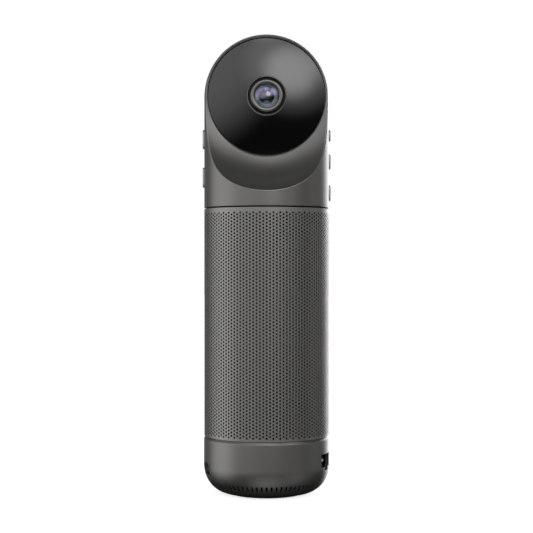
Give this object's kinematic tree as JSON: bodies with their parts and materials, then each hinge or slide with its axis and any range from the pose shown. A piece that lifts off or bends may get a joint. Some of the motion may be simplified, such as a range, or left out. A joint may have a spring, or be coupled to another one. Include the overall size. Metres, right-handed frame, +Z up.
{
  "type": "ptz camera",
  "caption": "Tower conference camera: round-nosed panning head with a fisheye lens in a scooped recess, side keys, perforated speaker column and socketed base.",
  "frame": {"origin": "on the resting plane, on the tower's vertical axis", "axes": "+Z up along the tower, the lens looks along -Y, +X is to the right of a viewer who faces the lens"},
  "size_m": [0.078, 0.0764, 0.279],
  "materials": {
    "head_paint": "satin gunmetal paint",
    "base_paint": "satin gunmetal paint",
    "grille_paint": "satin gunmetal paint on perforated sheet",
    "key_paint": "satin gunmetal paint",
    "lens_gloss": "polished black",
    "bezel_metal": "satin, turned",
    "barrel_metal": "black anodised",
    "coated_glass": "polished, violet coating",
    "inner_glass": "polished, coated",
    "filter_glass": "polished, coated",
    "chip": "matt",
    "board": "solder mask",
    "frame_metal": "die cast",
    "sink_metal": "extruded",
    "steel": "bright",
    "brass": "turned",
    "copper": "enamelled winding",
    "magnet_metal": "plated",
    "gear_plastic": "moulded",
    "dark_plastic": "moulded, fine texture",
    "groove_black": "moulded, matt",
    "base_plate_plastic": "moulded, fine texture",
    "rubber": "matt",
    "foot_rubber": "matt",
    "cable_jacket": "braided",
    "cone_paper": "pressed paper",
    "black_cloth": "open weave",
    "socket_black": "moulded",
    "socket_metal": "plated shell"
  },
  "bodies": {
    "column": {"bearing_outer_race": "steel", "pan_motor": "steel", "column_top_plate": "groove_black", "column_frame": "dark_plastic", "frame_screws": "steel", "twist_harness": "cable_jacket", "main_board": "board", "mic_board": "board", "microphones": "steel", "speaker_box": "dark_plastic", "speaker_basket": "frame_metal", "speaker_surround": "rubber", "speaker_magnet": "magnet_metal", "radiator_surround": "rubber", "sound_deflector": "dark_plastic", "acoustic_sleeve": "black_cloth", "speaker_grille": "grille_paint", "base_shell": "base_paint", "base_plate": "base_plate_plastic", "base_screws": "steel", "foot_ring": "foot_rubber", "tripod_insert": "brass", "port_board": "board", "network_jack": "socket_black", "video_socket": "socket_metal", "usb_socket": "socket_metal", "power_socket": "socket_black"},
    "head": {"head_shell": "head_paint", "lens_plate": "lens_gloss", "lens_bezel": "bezel_metal", "lens_gasket": "rubber", "lens_barrel": "barrel_metal", "front_element": "coated_glass", "second_element": "inner_glass", "rear_element": "inner_glass", "lens_mount": "dark_plastic", "ir_filter": "filter_glass", "image_sensor": "chip", "sensor_board": "board", "head_frame": "frame_metal", "vision_board": "board", "heat_sink": "sink_metal", "left_key_board": "board", "right_key_board": "board", "key_switches": "steel", "head_base_plate": "groove_black", "head_screws": "steel", "pan_hub": "frame_metal", "pan_gear": "gear_plastic", "bearing_inner_race": "steel"},
    "key_left_upper": {"key_left_upper": "key_paint"},
    "key_left_lower": {"key_left_lower": "key_paint"},
    "key_right_upper": {"key_right_upper": "key_paint"},
    "key_right_middle": {"key_right_middle": "key_paint"},
    "key_right_lower": {"key_right_lower": "key_paint"},
    "bearing_balls": {"bearing_balls": "steel"},
    "motor_pinion": {"motor_pinion": "brass"},
    "speaker_cone": {"speaker_cone": "cone_paper", "voice_coil": "copper"},
    "passive_radiator": {"passive_radiator": "cone_paper"}
  },
  "joints": [
    {"name": "pan", "type": "hinge", "parent": "column", "child": "head", "pos_m": [0, 0, 0.1734], "axis": [0, 0, 1], "range_deg": [-170, 170]},
    {"name": "ball_roll", "type": "hinge", "parent": "column", "child": "bearing_balls", "pos_m": [0, 0, 0.1675], "axis": [0, 0, 1], "range_deg": [-80, 80]},
    {"name": "pinion_spin", "type": "hinge", "parent": "column", "child": "motor_pinion", "pos_m": [0, 0.0248, 0.159], "axis": [0, 0, 1], "range_deg": [-710, 710]},
    {"name": "key_left_upper_press", "type": "slide", "parent": "head", "child": "key_left_upper", "axis": [1, 0, 0], "range_m": [0, 0.0006], "stiffness_N_per_m": 800},
    {"name": "key_left_lower_press", "type": "slide", "parent": "head", "child": "key_left_lower", "axis": [1, 0, 0], "range_m": [0, 0.0006], "stiffness_N_per_m": 800},
    {"name": "key_right_upper_press", "type": "slide", "parent": "head", "child": "key_right_upper", "axis": [-1, 0, 0], "range_m": [0, 0.0006], "stiffness_N_per_m": 800},
    {"name": "key_right_middle_press", "type": "slide", "parent": "head", "child": "key_right_middle", "axis": [-1, 0, 0], "range_m": [0, 0.0006], "stiffness_N_per_m": 800},
    {"name": "key_right_lower_press", "type": "slide", "parent": "head", "child": "key_right_lower", "axis": [-1, 0, 0], "range_m": [0, 0.0006], "stiffness_N_per_m": 800},
    {"name": "cone_stroke", "type": "slide", "parent": "column", "child": "speaker_cone", "axis": [0, 0, 1], "range_m": [-0.002, 0.002], "stiffness_N_per_m": 1500},
    {"name": "radiator_stroke", "type": "slide", "parent": "column", "child": "passive_radiator", "axis": [0, 0, 1], "range_m": [-0.003, 0.003], "stiffness_N_per_m": 900}
  ],
  "couplings": [
    {"joint": "pinion_spin", "follows": "pan", "ratio": -4.1667},
    {"joint": "ball_roll", "follows": "pan", "ratio": 0.45312}
  ]
}
